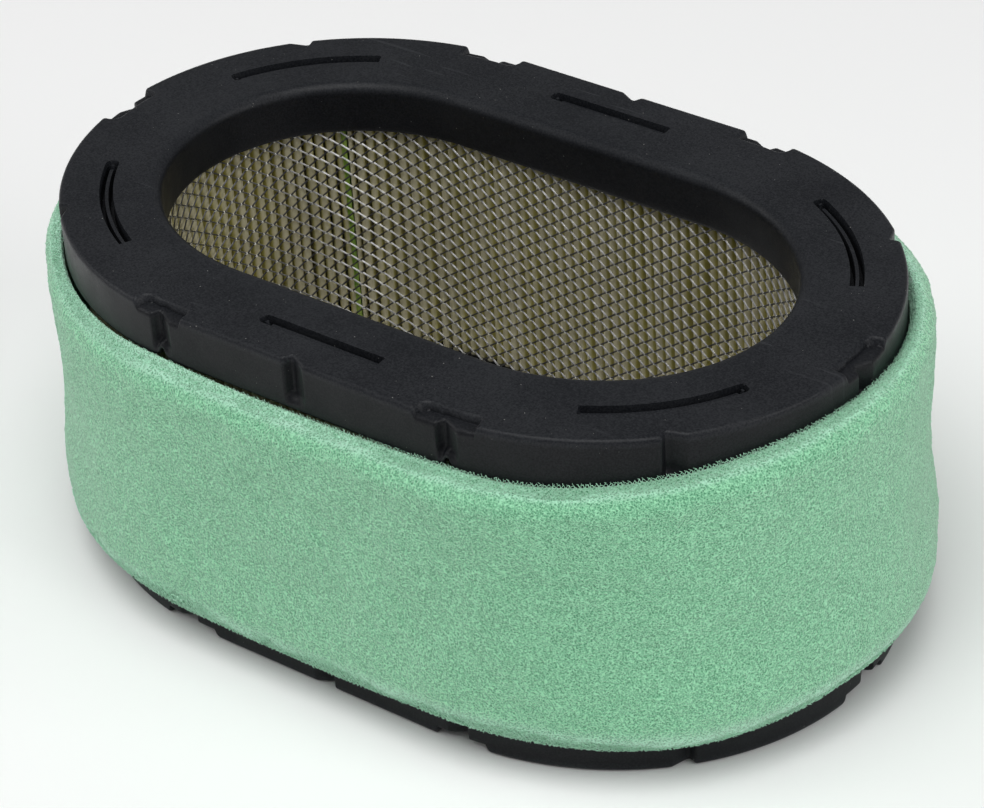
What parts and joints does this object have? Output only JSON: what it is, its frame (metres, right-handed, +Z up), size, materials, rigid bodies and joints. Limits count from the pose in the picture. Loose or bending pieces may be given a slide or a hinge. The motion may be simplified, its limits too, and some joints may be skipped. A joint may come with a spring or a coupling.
{
  "type": "air filter element",
  "caption": "Oval small-engine air filter element: pleated paper and a wire screen between two cast end caps, in a foam pre-cleaner sleeve that pulls off.",
  "frame": {"origin": "centre of the lower cap's seal face, which the element stands on", "axes": "+Z up along the element's axis, from the lower seal face to the upper one; +X along the oval's long axis"},
  "size_m": [0.2082, 0.1358, 0.0846],
  "materials": {
    "cap": "matt charcoal moulded polyurethane",
    "paper": "matt khaki resin-treated filter paper",
    "seam": "brown set glue",
    "screen": "bright zinc-coated expanded metal",
    "foam": "mint green open-cell polyurethane foam"
  },
  "bodies": {
    "element": {"upper_end_cap": "cap", "lower_end_cap": "cap", "pleated_paper": "paper", "pleat_seam": "seam", "inner_screen": "screen"},
    "precleaner": {"foam_precleaner": "foam"}
  },
  "joints": [
    {"name": "precleaner_slide", "type": "slide", "parent": "element", "child": "precleaner", "axis": [0, 0, 1], "range_m": [0, 0.085]}
  ]
}
